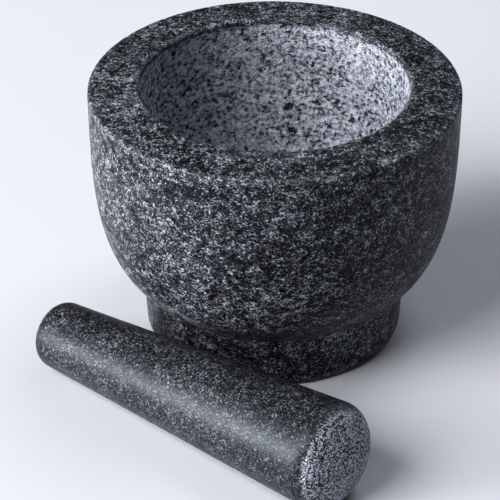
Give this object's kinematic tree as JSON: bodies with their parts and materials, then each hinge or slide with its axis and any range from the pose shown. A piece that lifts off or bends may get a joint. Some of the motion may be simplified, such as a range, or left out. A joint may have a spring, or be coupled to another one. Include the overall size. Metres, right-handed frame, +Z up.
{
  "type": "granite molcajete",
  "caption": "Thick-walled dark granite mortar with a wide flat rim, a rounded hollow and a solid round foot, with its tapered granite pestle lying beside it.",
  "frame": {"origin": "centre of the underside of the mortar's foot, on the surface that the mortar stands on", "axes": "+Z up along the mortar's own axis; +Y away from the viewer of the usual front view; +X to the right; the pestle lies in front and to the left"},
  "size_m": [0.1718, 0.2201, 0.1116],
  "materials": {
    "mortar_granite": "honed outside and on the rim, pecked and unpolished inside the hollow, sawn under the foot",
    "pestle_granite": "honed along the handle, pecked and unpolished on the large working end"
  },
  "bodies": {
    "mortar": {"mortar": "mortar_granite"},
    "pestle": {"pestle": "pestle_granite"}
  },
  "joints": [
    {"name": "pestle_lift", "type": "slide", "parent": "mortar", "child": "pestle", "axis": [-0.3274, -0.3779, 0.866], "range_m": [0, 0.16]}
  ]
}
